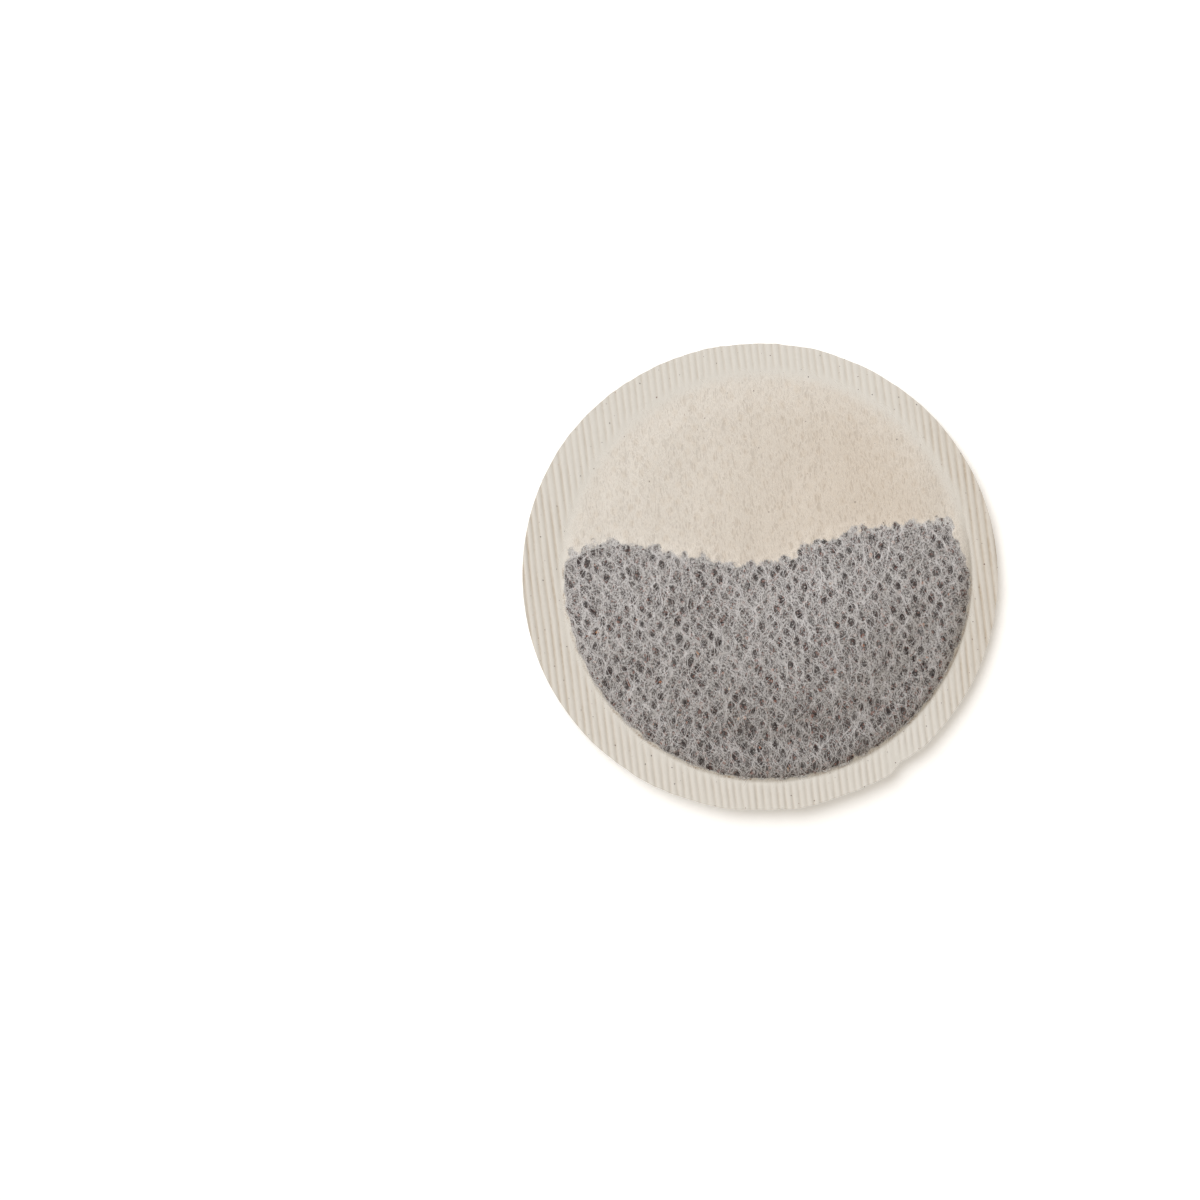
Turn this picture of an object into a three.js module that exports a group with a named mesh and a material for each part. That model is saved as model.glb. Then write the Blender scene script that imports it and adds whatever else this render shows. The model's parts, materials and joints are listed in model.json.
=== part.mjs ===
// Round tea bag: two discs of heat-sealable filter paper, crimped together round the rim, over a bed
// of loose tea. Millimetres, +Z up. +Y is the paper's machine direction, which the crimp ribs follow.
// The bag lies on a table at z = 0 with its tea slid towards -Y. The origin is the centre of its base.

import * as THREE from 'three';

// Paper and seal
const BAG_RADIUS = 31;          // cut edge of both discs
const PAPER = 0.1;              // thickness of one sheet
const SEAL_RADIUS = 26.9;       // inner edge of the crimped seal
const SEAL_SHIFT = 0.7;         // seal's centre, off the cut's centre towards +X
const SEAL_GAP = 0.05;          // clearance between the two sheets inside the seal
const RIB_COUNT = 67;           // crimp ribs across the whole bag
const RIB_HEIGHT = 0.2;         // trough to crest
const RIB_FADE = 1.8;           // the ribs rise to full height over this width

// How the bag lies
const RIM_LIFT = 1.4;           // height of the seal above the table, on the X axis
const RIM_SLOPE = 0.03;         // the seal drops by this much per millimetre towards +Y
const RIM_WAVE = 0.22;          // slow rise and fall of the rim
const FLANK = 6;                // the lower sheet comes down to the table over this width
const SAG = [-4, 7];            // and over this stretch of the tea's free edge, from outside to inside
const PUFF = 0.45;              // air left between the sheets where there is no tea

// A small crushed spot on the cut edge
const NICK_DEPTH = 0.45;
const NICK_ANGLE = THREE.MathUtils.degToRad(-61);
const NICK_SPREAD = 0.035;      // half width, in radians

// Tea bed
const TEA_DEPTH = 6.2;          // deepest tea
const TEA_REACH = 14;           // the bed is at full depth this far inside the seal
const TEA_LEVEL = 4.6;          // y of the bed's free edge
const TEA_HEAP = { at: -20, rise: 2.4, width: 6 };
const TEA_DIP = { at: 0, rise: -3, width: 8 };
const TEA_ROUNDING = 1.5;       // the sheets bridge the bed's free edge over this width
const TEA_CLEARANCE = 0.3;      // between the bed and each sheet
const TEA_MARGIN = 1.3;         // between the bed's rim and the seal
const TEA_CENTRE = new THREE.Vector2(0, -10);

// Mesh steps
const SEAL_STEP = 2.1;          // longest step along a rib
const RING_SPOKES = 48;
const RING_INSETS = [1, 2.3, 4, 6.2, 9, 13, 17.5, 22.5];
const TEA_SPOKES = 60;
const TEA_RINGS = [0.95, 0.89, 0.82, 0.72, 0.55, 0.3];

const clamp01 = (t) => THREE.MathUtils.clamp(t, 0, 1);
const bump = (x, { at, rise, width }) => rise * Math.exp(-(((x - at) / width) ** 2));

// ---- The heights of the sheets ----

// Distance inwards from the seal's inner edge: negative in the seal.
function insideSeal(x, y) {
  return SEAL_RADIUS - Math.hypot(x - SEAL_SHIFT, y);
}

// Distance into the tea from the bed's free edge.
function insideTea(x, y) {
  return TEA_LEVEL + bump(x, TEA_HEAP) + bump(x, TEA_DIP) - y;
}

// Rise from 0 at an edge to 1 at full depth, quick at first, as a filled paper pocket does.
function pocket(distance) {
  const t = clamp01(distance / TEA_REACH);
  return (1 - (1 - t) ** 2) ** 0.8;
}

function rimHeight(x, y) {
  const angle = Math.atan2(y, x);
  const share = (Math.hypot(x, y) / BAG_RADIUS) ** 2;
  return RIM_LIFT - RIM_SLOPE * y + RIM_WAVE * share * Math.sin(3 * angle + 0.6);
}

// Height of the crimp ribs: straight, parallel to Y, and only in the seal.
function ribHeight(x, y) {
  const phase = (x * RIB_COUNT) / (2 * BAG_RADIUS);
  const crest = 1 - 4 * Math.abs(phase - Math.round(phase));
  return (RIB_HEIGHT / 2) * crest * clamp01(-insideSeal(x, y) / RIB_FADE);
}

// How far the tea holds the two sheets apart.
function teaDepth(x, y) {
  const free = TEA_ROUNDING * Math.log1p(Math.exp(insideTea(x, y) / TEA_ROUNDING));
  return TEA_DEPTH * pocket(insideSeal(x, y)) * pocket(free);
}

// Underside of the lower sheet: flat on the table under the tea, and up to the rim all round it.
function lowerUnderside(x, y) {
  const flank = THREE.MathUtils.smoothstep(insideSeal(x, y), 0, FLANK);
  const filled = THREE.MathUtils.smoothstep(insideTea(x, y), ...SAG);
  return rimHeight(x, y) * (1 - flank * filled) + ribHeight(x, y);
}

function lowerTop(x, y) {
  return lowerUnderside(x, y) + PAPER;
}

function upperUnderside(x, y) {
  const empty = THREE.MathUtils.smoothstep(-insideTea(x, y), 0, 6);
  const puff = PUFF * empty * THREE.MathUtils.smoothstep(insideSeal(x, y), 0, FLANK);
  return lowerTop(x, y) + SEAL_GAP + teaDepth(x, y) + puff;
}

function upperTop(x, y) {
  return upperUnderside(x, y) + PAPER;
}

function teaUnderside(x, y) {
  return lowerTop(x, y) + TEA_CLEARANCE;
}

function teaTop(x, y) {
  return upperUnderside(x, y) - TEA_CLEARANCE;
}

// ---- Plans: flat triangle meshes, which are then given a top and an underside ----

// The y of the cut edge on one side (+1 or -1) of the line at x.
function cutEdge(x, side) {
  const round = side * Math.sqrt(Math.max(0, BAG_RADIUS ** 2 - x ** 2));
  const turnFromNick = (Math.atan2(round, x) - NICK_ANGLE) / NICK_SPREAD;
  return round * (1 - (NICK_DEPTH / BAG_RADIUS) * Math.exp(-(turnFromNick ** 2)));
}

function addPoint(plan, x, y) {
  return plan.points.push(new THREE.Vector2(x, y)) - 1;
}

// Points along the line at x, evenly spaced from one y to another, both ends included. The row may
// grow from a point that is already there.
function addRow(plan, x, from, to, first = addPoint(plan, x, from)) {
  const steps = Math.ceil(Math.abs(to - from) / SEAL_STEP);
  const row = [first];
  for (let i = 1; i <= steps; i += 1) {
    row.push(addPoint(plan, x, THREE.MathUtils.lerp(from, to, i / steps)));
  }
  return row;
}

// Triangles between two rows of point indices, joined in the order of the rising value that place
// gives. The right-hand row is to the right of the left-hand one when looking along them.
function ladder(plan, left, right, place) {
  let i = 0;
  let j = 0;
  while (i < left.length - 1 || j < right.length - 1) {
    const nextLeft = i < left.length - 1 ? place(left, i + 1) : Infinity;
    const nextRight = j < right.length - 1 ? place(right, j + 1) : Infinity;
    if (nextRight <= nextLeft) {
      plan.faces.push([left[i], right[j], right[j + 1]]);
      j += 1;
    } else {
      plan.faces.push([left[i], right[j], left[i + 1]]);
      i += 1;
    }
  }
}

// Fills the plan inside a closed row of points: ring after ring, then a fan to the centre. Each ring
// is a function that gives its radius at an angle.
function fillRings(plan, outer, centre, rings, spokes) {
  const fullTurn = 2 * Math.PI;
  const place = (row, i) => {
    const { x, y } = plan.points[row[i]];
    const angle = Math.atan2(y - centre.y, x - centre.x);
    return i === row.length - 1 ? fullTurn : (angle + fullTurn) % fullTurn;
  };
  let previous = outer;
  for (const radiusAt of rings) {
    const ring = addRing(plan, centre, radiusAt, spokes);
    ladder(plan, [...ring, ring[0]], [...previous, previous[0]], place);
    previous = ring;
  }
  const middle = addPoint(plan, centre.x, centre.y);
  previous.forEach((index, i) => {
    plan.faces.push([middle, index, previous[(i + 1) % previous.length]]);
  });
}

function addRing(plan, centre, radiusAt, spokes) {
  return Array.from({ length: spokes }, (_, i) => {
    const angle = (2 * Math.PI * i) / spokes;
    const radius = radiusAt(angle);
    return addPoint(plan, centre.x + radius * Math.cos(angle), centre.y + radius * Math.sin(angle));
  });
}

// A paper disc: in the seal, a row of points along each rib's crest and trough, and rings inside it.
function paperPlan() {
  const plan = { points: [], faces: [], edge: [] };
  const ribLines = Array.from(
    { length: 2 * RIB_COUNT + 1 },
    (_, i) => BAG_RADIUS * (i / RIB_COUNT - 1),
  );
  const sealEnds = [SEAL_SHIFT - SEAL_RADIUS, SEAL_SHIFT + SEAL_RADIUS];
  const lines = [...ribLines, ...sealEnds].sort((a, b) => a - b);

  // Each line has a row south of the seal's inner edge and one north of it. Where the line misses
  // that edge, the two rows meet in one point on the X axis.
  const rows = lines.map((x) => {
    const half = Math.sqrt(Math.max(0, SEAL_RADIUS ** 2 - (x - SEAL_SHIFT) ** 2));
    const crosses = half > SEAL_GAP;
    const inner = crosses ? half : 0;
    const south = addRow(plan, x, cutEdge(x, -1), -inner);
    const shared = crosses ? undefined : south[south.length - 1];
    const north = addRow(plan, x, inner, cutEdge(x, 1), shared);
    return { crosses, atSealEnd: sealEnds.includes(x), south, north };
  });
  const alongY = (row, i) => plan.points[row[i]].y;
  for (let i = 1; i < rows.length; i += 1) {
    ladder(plan, rows[i - 1].south, rows[i].south, alongY);
    ladder(plan, rows[i - 1].north, rows[i].north, alongY);
  }

  // The seal's inner edge and the cut edge, both anticlockwise from +X.
  const eastward = rows.filter((row) => row.crosses || row.atSealEnd);
  const westward = [...eastward].reverse();
  const innerEdge = [
    ...westward.map((row) => row.north[0]),
    ...eastward.slice(1, -1).map((row) => row.south[row.south.length - 1]),
  ];
  plan.edge = [
    ...[...rows].reverse().map((row) => row.north[row.north.length - 1]),
    ...rows.slice(1, -1).map((row) => row.south[0]),
  ];
  const rings = RING_INSETS.map((inset) => () => SEAL_RADIUS - inset);
  fillRings(plan, innerEdge, new THREE.Vector2(SEAL_SHIFT, 0), rings, RING_SPOKES);
  return plan;
}

// Distance from the tea's centre to the bed's rim: its free edge, or a margin short of the seal.
function teaReach(angle) {
  let inside = 0;
  let outside = BAG_RADIUS + TEA_CENTRE.length();
  while (outside - inside > PAPER) {
    const radius = (inside + outside) / 2;
    const x = TEA_CENTRE.x + radius * Math.cos(angle);
    const y = TEA_CENTRE.y + radius * Math.sin(angle);
    if (insideSeal(x, y) > TEA_MARGIN && insideTea(x, y) > 0) inside = radius;
    else outside = radius;
  }
  return inside;
}

function teaPlan() {
  const plan = { points: [], faces: [], edge: [] };
  const rings = TEA_RINGS.map((share) => (angle) => share * teaReach(angle));
  plan.edge = addRing(plan, TEA_CENTRE, teaReach, TEA_SPOKES);
  fillRings(plan, plan.edge, TEA_CENTRE, rings, TEA_SPOKES);
  return plan;
}

// ---- Solids ----

// The closed solid over a plan, between two height functions, with a wall along the plan's edge.
function layerGeometry(plan, underside, top) {
  const count = plan.points.length;
  const positions = [];
  for (const { x, y } of plan.points) positions.push(x, y, top(x, y));
  for (const { x, y } of plan.points) positions.push(x, y, underside(x, y));
  const index = [];
  for (const [a, b, c] of plan.faces) {
    index.push(a, b, c);
    index.push(a + count, c + count, b + count);
  }
  plan.edge.forEach((a, i) => {
    const b = plan.edge[(i + 1) % plan.edge.length];
    index.push(a + count, b + count, b);
    index.push(a + count, b, a);
  });
  const geometry = new THREE.BufferGeometry();
  geometry.setAttribute('position', new THREE.Float32BufferAttribute(positions, 3));
  geometry.setIndex(index);
  geometry.computeVertexNormals();
  return geometry;
}

function makeMesh(name, geometry, material) {
  const mesh = new THREE.Mesh(geometry, material);
  mesh.name = name;
  return mesh;
}

function filterPaper() {
  return new THREE.MeshStandardMaterial({ color: '#d4cabc', roughness: 0.92, metalness: 0 });
}

function driedTea() {
  return new THREE.MeshStandardMaterial({ color: '#33271e', roughness: 0.85, metalness: 0 });
}

const disc = paperPlan();
const teaBag = new THREE.Group();
teaBag.name = 'round_tea_bag';
teaBag.add(
  makeMesh('lower_paper', layerGeometry(disc, lowerUnderside, lowerTop), filterPaper()),
  makeMesh('tea_fill', layerGeometry(teaPlan(), teaUnderside, teaTop), driedTea()),
  makeMesh('upper_paper', layerGeometry(disc, upperUnderside, upperTop), filterPaper()),
);

export default teaBag;
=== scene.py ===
"""Round tea bag: two crimped discs of see-through filter paper over loose black tea, lying flat.

+Y is the paper's machine direction: the crimp ribs and most of the fibres run along it. Shapes are
worked out in millimetres and stored in metres.
"""

import json
import math

import bmesh
import bpy
import numpy as np
from mathutils import Euler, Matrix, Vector

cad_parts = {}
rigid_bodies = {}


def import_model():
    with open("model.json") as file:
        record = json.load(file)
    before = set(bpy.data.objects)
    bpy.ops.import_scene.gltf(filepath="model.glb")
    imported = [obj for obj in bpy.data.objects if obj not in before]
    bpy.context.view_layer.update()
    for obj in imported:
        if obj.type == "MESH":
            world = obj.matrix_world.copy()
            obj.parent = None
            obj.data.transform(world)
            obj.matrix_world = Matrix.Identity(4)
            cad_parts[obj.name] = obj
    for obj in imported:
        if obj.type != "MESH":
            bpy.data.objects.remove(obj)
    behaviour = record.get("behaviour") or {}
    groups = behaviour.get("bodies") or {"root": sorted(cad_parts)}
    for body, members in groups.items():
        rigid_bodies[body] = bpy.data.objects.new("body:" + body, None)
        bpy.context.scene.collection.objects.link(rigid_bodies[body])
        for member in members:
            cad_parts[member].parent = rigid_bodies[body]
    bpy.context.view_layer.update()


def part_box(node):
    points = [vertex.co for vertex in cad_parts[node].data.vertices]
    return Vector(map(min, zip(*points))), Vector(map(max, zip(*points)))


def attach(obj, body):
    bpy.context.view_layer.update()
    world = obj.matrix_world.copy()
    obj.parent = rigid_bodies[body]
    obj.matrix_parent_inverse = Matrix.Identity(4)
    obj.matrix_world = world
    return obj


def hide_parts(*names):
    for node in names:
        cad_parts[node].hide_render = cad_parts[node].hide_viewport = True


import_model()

MM = 0.001

# Paper and seal, as in the CAD sheets
BAG_RADIUS = (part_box("upper_paper")[1][0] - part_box("upper_paper")[0][0]) / 2 / MM
PAPER = 0.1                     # thickness of one sheet
SEAL_RADIUS = 26.9              # inner edge of the crimped seal
SEAL_SHIFT = 0.7                # seal's centre, off the cut's centre towards +X
SEAL_GAP = 0.05                 # clearance between the two sheets inside the seal
RIB_COUNT = 67                  # crimp ribs across the whole bag
RIB_PITCH = 2 * BAG_RADIUS / RIB_COUNT

# The ribs as they really are: broad crests with narrow grooves between them. Here and below, a ripple
# is a row of its height, wavelength, seed and how far it is drawn out along Y.
RIB_HEIGHT = 0.15               # bottom of a groove to crest
RIB_FADE = (-0.3, 1.2)          # the ribs rise to full height between these distances into the seal
GROOVE_SHARE = 0.2              # half width of a groove, as a share of the pitch
GROOVE_DRIFT = ((0.06, 7, 34, 2),)    # how far the grooves wander, in pitches
GROOVE_PRESS = ((0.25, 3.2, 35, 2),)  # how unevenly they are pressed

# How the bag lies, as in the CAD sheets
RIM_LIFT = 1.4                  # height of the seal above the table, on the X axis
RIM_SLOPE = 0.03                # the seal drops by this much per millimetre towards +Y
RIM_WAVE = 0.22                 # slow rise and fall of the rim
FLANK = 6                       # the lower sheet comes down to the table over this width
SAG = (-4, 7)                   # and over this stretch of the tea's free edge, from outside to inside
PUFF = 0.45                     # air left between the sheets where there is no tea

# Relief of the upper sheet: puckers along the seal, the print of the grains under it, and slack
PUCKER = 0.12
PUCKER_COUNT = 41               # puckers all round
PUCKER_FADE = 2.5               # they die out over this distance from the seal
GRAIN_PRINT = ((0.05, 1.1, 3, 1), (0.05, 2.3, 4, 1))
SLACK = ((0.10, 13, 5, 2), (0.035, 4, 6, 3))

# Two crushed spots on the cut edge, and its faint unevenness
NICK_DEPTH = 0.45
NICK_ANGLE = math.radians(-61)
NICK_SPREAD = 0.035             # half width, in radians
NICK_JOG = 0.3                  # one side of the nick stands out and the other back
NICK_FLATTENS = 2.6             # the ribs are flat this close round it
SMALL_NICK_DEPTH = 0.22
SMALL_NICK_ANGLE = math.radians(-92)
SMALL_NICK_SPREAD = 0.012
EDGE_UNEVEN = ((0.06, 8, 51, 1), (0.035, 2.2, 52, 1))

# The disc lies a little out of round: oval, and wider towards -X than towards +X
DISC_TURN = math.radians(-7)    # direction of the oval's long way, from X
OVAL = 0.008                    # how much longer it is, as a share of the radius
WIDER = 0.0064                  # how far the disc stands out on its wide side, also as a share
WIDER_AT = math.radians(138)    # and once more here
WIDER_SPREAD = 0.45             # over this half width, in radians

# Tea bed, as in the CAD
TEA_DEPTH = 6.2                 # deepest tea
TEA_REACH = 14                  # the bed is at full depth this far inside the seal
TEA_LEVEL = 4.6                 # y of the bed's free edge
TEA_HEAP = (-20, 2.4, 6)        # x, rise and width of its heap
TEA_DIP = (0, -3, 8)            # and of its dip
TEA_ROUNDING = 1.5              # the sheets bridge the bed's free edge over this width
TEA_CENTRE = (0, -10)

# The tea's own edges: each fades between two distances and is ragged
TEA_SLID = 1.5                  # how far it has slid off the seal on one side
FREE_EDGE = (-1.0, 0.7)
FREE_EDGE_RAGGED = ((0.4, 1.8, 31, 1), (0.25, 5, 32, 1))
SEAL_EDGE = (-0.2, 0.5)
SEAL_EDGE_RAGGED = ((0.22, 2.1, 33, 1),)
DUST_PATCHES = ((0.5, 3, 36, 1),)     # dust lies along the seal's inner edge in patches

# Thin spots in the paper: rows that are half a repeat out of step, each spot an upright oval
SPOT_REPEAT_X = 2.15
SPOT_REPEAT_Y = 2.18
SPOT_HALF_WIDTH = 0.50
SPOT_HALF_HEIGHT = 0.64
SPOT_STRAYS = (0.16, 0.20)      # how far they lie off their rows in x and in y
SPOT_SIZES = (0.7, 1.12)        # smallest and largest, as a share of those half sizes
SPOT_LEAST = 0.25               # how thin the faintest spots are, where 1 is the thinnest
SPOT_EDGE = (0.55, 1.2)         # a spot fades between these shares of its half size
SPOT_DENT = 0.04                # how far the sheet sinks in at the thinnest

# Fibres of the web: flat bundles, laid round the thin spots
FIBRE_STEPS = 10
FIBRE_POINTS = 2 * (FIBRE_STEPS + 1)
FIBRE_LENGTH = (1.8, 4.2)
FIBRE_WIDTH = (0.035, 0.07)
FIBRE_LIFT = (0.01, 0.05)       # least and most height above the sheet
FIBRE_PUSH = 0.75               # how far they are pushed off a thin spot, in its half sizes
FIBRE_YIELDS = 0.85             # the share of them that are pushed
FIBRE_PAST_SEAL = 1.2           # how far they may reach into the seal
FIBRE_LEAN = 0.95               # most turn from Y, in radians

# How much of the view the paper stops, from 0 to 1
LOOSE_WEB = 0.21                # over tea
CLOSE_WEB = 0.68                # where the two sheets lie close
SEALED_WEB = 0.92
LEAST_COVER = 0.01
FIBRE_COVER = 0.6
FIBRE_COVER_EMPTY = 0.12

# The paper's tones: warmer where light passes both sheets, and nearly grey over tea.
# The tones of parted sheets, thin spots and grooves are painted shade
PAPER_WARM = "#dfd9d0"
PAPER_PARTED_SHADE = "#d5c9ba"
PAPER_THIN_SHADE = "#d6c6b2"
PAPER_GROOVE_SHADE = "#bbab95"
PAPER_DUSTY = "#a89480"
PAPER_STREAK = "#ece9e2"
PAPER_OVER_TEA = "#cdcbcb"
PAPER_SEALED = "#dedbd4"
FIBRE_WARM = "#dcd6cc"
FIBRE_OVER_TEA = "#d8d5d4"

# Finest fibres of the web, as a pattern: clumps of felt, patches where more of it was laid, and lines.
# A line's row is its turn from Y in degrees, how many to a millimetre, how wide, and a seed.
FELT_PER_MM = 3.7
CLOUD_PER_MM = 0.16
STRANDS = ((-38, 1.0, 0.055, 1.3), (-14, 1.2, 0.06, 5.1), (8, 1.3, 0.06, 9.7), (30, 1.1, 0.055, 14.2),
           (68, 0.8, 0.04, 20.9))
HAIRS = ((-35, 2.6, 0.075, 3.7), (20, 2.6, 0.075, 8.8))

# Tea: tones from the dullest grains to the few bits of stem, and any turn
TEA_TONES = ((0.0, "#130706"), (0.3, "#2f1511"), (0.65, "#5b372f"), (0.93, "#81574a"),
             (0.984, "#7d4a35"), (0.995, "#a86238"), (1.0, "#b8906a"))
TEA_WRINKLES_PER_MM = 5.0
TUMBLED = {"Least turn": (0, 0, 0), "Most turn": (2 * math.pi,) * 3}

# Mesh steps
STEPS_PER_RIB = 6
SHEET_ROWS = 200
BED_SPOKES = 220
BED_RINGS = 44

# Table
TABLE_GAP = 0.06                # room left under the bag for the fibres on its underside
TABLE_HALF = 900
TABLE_WHITE = "#f6f5f3"
TABLE_GLOW = ("#f5f5f3", 0.26)  # colour and strength

# Light: colour and strength, and for the softbox how wide it is and where it stands
SOFTBOX = ("#f7faff", 2.5)
SOFTBOX_WIDTH = math.radians(46)
SOFTBOX_SIDE = math.radians(135) + DISC_TURN
SOFTBOX_HEIGHT = math.radians(53)
ROOM = ("#fff0dc", 0.42)

# Where the camera stands: straight above, turned with the disc, with the bag right of the middle
CAMERA_AT = (-21.44, -0.48)
VIEW_WIDTH = 157.7              # of the table, across the picture
LENS = 100
SENSOR = 36


# ---- Small helpers ----

def smooth(value, low, high):
    t = np.clip((value - low) / (high - low), 0, 1)
    return t * t * (3 - 2 * t)


def bump(x, at, rise, width):
    return rise * np.exp(-(((x - at) / width) ** 2))


def ripple(x, y, wavelength, seed, along_y, waves=14):
    """Smooth random ground of about -1 to 1: plane waves of about one length and many directions.
    along_y above 1 draws the ripples out along Y."""
    rng = np.random.default_rng(seed)
    turn = rng.uniform(0, math.pi, waves)
    start = rng.uniform(0, 2 * math.pi, waves)
    count = 2 * math.pi / (wavelength * rng.uniform(0.75, 1.35, waves))
    total = np.zeros_like(x)
    for angle, phase, k in zip(turn, start, count):
        total += np.sin(k * (x * math.cos(angle) + y * math.sin(angle) / along_y) + phase)
    return total / math.sqrt(waves)


def ripples(x, y, rows):
    """The sum of several ripples, in the unit of their heights."""
    total = 0
    for height, wavelength, seed, along_y in rows:
        total = total + height * ripple(x, y, wavelength, seed, along_y)
    return total


# ---- Thin spots of the filter paper ----

class SpotRows:
    """The spots' places, sizes and depths, on a lattice whose cells stand on their corners."""

    def __init__(self, seed):
        rng = np.random.default_rng(seed)
        self.half = int(2.4 * BAG_RADIUS / min(SPOT_REPEAT_X, SPOT_REPEAT_Y))
        shape = (2 * self.half, 2 * self.half)
        self.off_x = rng.normal(0, SPOT_STRAYS[0], shape)
        self.off_y = rng.normal(0, SPOT_STRAYS[1], shape)
        self.size = rng.uniform(*SPOT_SIZES, shape)
        self.depth = SPOT_LEAST + (1 - SPOT_LEAST) * rng.uniform(0, 1, shape) ** 1.4

    def nearest(self, x, y):
        """Offset from the nearest spot in half widths and half heights, and how thin that spot is."""
        u = np.floor(x / SPOT_REPEAT_X + y / SPOT_REPEAT_Y).astype(int)
        v = np.floor(x / SPOT_REPEAT_X - y / SPOT_REPEAT_Y).astype(int)
        best = np.full(x.shape, np.inf)
        across = np.zeros(x.shape)
        along = np.zeros(x.shape)
        depth = np.zeros(x.shape)
        for i in (-1, 0, 1):
            for j in (-1, 0, 1):
                a = np.clip(u + i + self.half, 0, 2 * self.half - 1)
                b = np.clip(v + j + self.half, 0, 2 * self.half - 1)
                middle_x = SPOT_REPEAT_X * (u + v + i + j + 1) / 2 + self.off_x[a, b]
                middle_y = SPOT_REPEAT_Y * (u - v + i - j) / 2 + self.off_y[a, b]
                dx = (x - middle_x) / (SPOT_HALF_WIDTH * self.size[a, b])
                dy = (y - middle_y) / (SPOT_HALF_HEIGHT * self.size[a, b])
                away = np.hypot(dx, dy)
                nearer = away < best
                best = np.where(nearer, away, best)
                across = np.where(nearer, dx, across)
                along = np.where(nearer, dy, along)
                depth = np.where(nearer, self.depth[a, b], depth)
        return across, along, depth

    def thinness(self, x, y):
        across, along, depth = self.nearest(x, y)
        return depth * (1 - smooth(np.hypot(across, along), *SPOT_EDGE))


upper_spots = SpotRows(seed=17)
lower_spots = SpotRows(seed=29)


# ---- The heights of the sheets, in millimetres ----

def inside_seal(x, y):
    """Distance inwards from the seal's inner edge."""
    return SEAL_RADIUS - np.hypot(x - SEAL_SHIFT, y)


def inside_tea(x, y):
    """Distance into the tea from its free edge."""
    return TEA_LEVEL + bump(x, *TEA_HEAP) + bump(x, *TEA_DIP) - y


def pocket(distance):
    """Rise from 0 at an edge to 1 at full depth, quick at first, as a filled paper pocket does."""
    t = np.clip(distance / TEA_REACH, 0, 1)
    return (1 - (1 - t) ** 2) ** 0.8


def tea_depth(x, y):
    free = TEA_ROUNDING * np.log1p(np.exp(inside_tea(x, y) / TEA_ROUNDING))
    return TEA_DEPTH * pocket(inside_seal(x, y)) * pocket(free)


def slid(x, y):
    """How far the tea has slid off the seal, at the upper end of its right-hand side."""
    return TEA_SLID * smooth(y, -4.5, 2.5) * smooth(x, 10, 20)


def tea_shows(x, y):
    """1 where tea lies right behind the sheets and 0 where none does. Both of its edges are ragged."""
    to_free_edge = inside_tea(x, y) + ripples(x, y, FREE_EDGE_RAGGED)
    to_seal = inside_seal(x, y) - slid(x, y) + ripples(x, y, SEAL_EDGE_RAGGED)
    return smooth(to_free_edge, *FREE_EDGE) * smooth(to_seal, *SEAL_EDGE)


def rim_height(x, y):
    share = (np.hypot(x, y) / BAG_RADIUS) ** 2
    wave = RIM_WAVE * share * np.sin(3 * np.arctan2(y, x) + 0.6)
    return RIM_LIFT - RIM_SLOPE * y + wave


def rib_grooves(x, y):
    """1 at the bottom of a groove, and how hard the grooves are pressed: least towards +Y and round
    the nick."""
    phase = x / RIB_PITCH + ripples(x, y, GROOVE_DRIFT)
    off_groove = np.abs(phase - np.floor(phase) - 0.5)
    groove = np.exp(-((off_groove / GROOVE_SHARE) ** 2))
    pressed = smooth(-inside_seal(x, y), *RIB_FADE) * (1.05 - 0.5 * smooth(y, 8, 24))
    pressed *= 1 + ripples(x, y, GROOVE_PRESS)
    from_nick = np.hypot(x - BAG_RADIUS * math.cos(NICK_ANGLE), y - BAG_RADIUS * math.sin(NICK_ANGLE))
    pressed *= 1 - 0.85 * np.exp(-((from_nick / NICK_FLATTENS) ** 2))
    return groove, pressed


def rib_height(x, y):
    groove, pressed = rib_grooves(x, y)
    return RIB_HEIGHT * (0.5 - groove) * pressed


def lower_underside(x, y):
    flank = smooth(inside_seal(x, y), 0, FLANK)
    filled = smooth(inside_tea(x, y), *SAG)
    return rim_height(x, y) * (1 - flank * filled) + rib_height(x, y)


def lower_top(x, y):
    return lower_underside(x, y) + PAPER


def upper_underside(x, y):
    empty = smooth(-inside_tea(x, y), 0, 6)
    puff = PUFF * empty * smooth(inside_seal(x, y), 0, FLANK)
    return lower_top(x, y) + SEAL_GAP + tea_depth(x, y) + puff


def upper_top(x, y):
    inner = smooth(inside_seal(x, y), 0, 2)
    over_tea = smooth(tea_depth(x, y), 0.2, 1.5)
    around = np.arctan2(y, x - SEAL_SHIFT)
    uneven_turn = PUCKER_COUNT * around + 2.5 * np.sin(5 * around)
    pucker = PUCKER * np.sin(uneven_turn) * np.exp(-inside_seal(x, y) / PUCKER_FADE)
    dents = SPOT_DENT * upper_spots.thinness(x, y) * (0.3 + 0.7 * over_tea)
    relief = over_tea * (pucker + ripples(x, y, GRAIN_PRINT)) + ripples(x, y, SLACK) - dents
    return upper_underside(x, y) + PAPER + inner * relief


# ---- Meshes ----

def cut_edge(x, side):
    """The y of the cut edge on one side (+1 or -1) of the line at x."""
    arc = side * np.sqrt(np.maximum(0, BAG_RADIUS ** 2 - x ** 2))
    off_nick = (np.arctan2(arc, x) - NICK_ANGLE) / NICK_SPREAD
    bite = NICK_DEPTH * np.exp(-(off_nick ** 2)) + NICK_JOG * off_nick * np.exp(-((off_nick / 2.2) ** 2))
    off_small = (np.arctan2(arc, x) - SMALL_NICK_ANGLE) / SMALL_NICK_SPREAD
    bite += SMALL_NICK_DEPTH * np.exp(-(off_small ** 2))
    bite += ripples(x, arc, EDGE_UNEVEN)
    return arc * (1 - bite / BAG_RADIUS)


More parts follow.
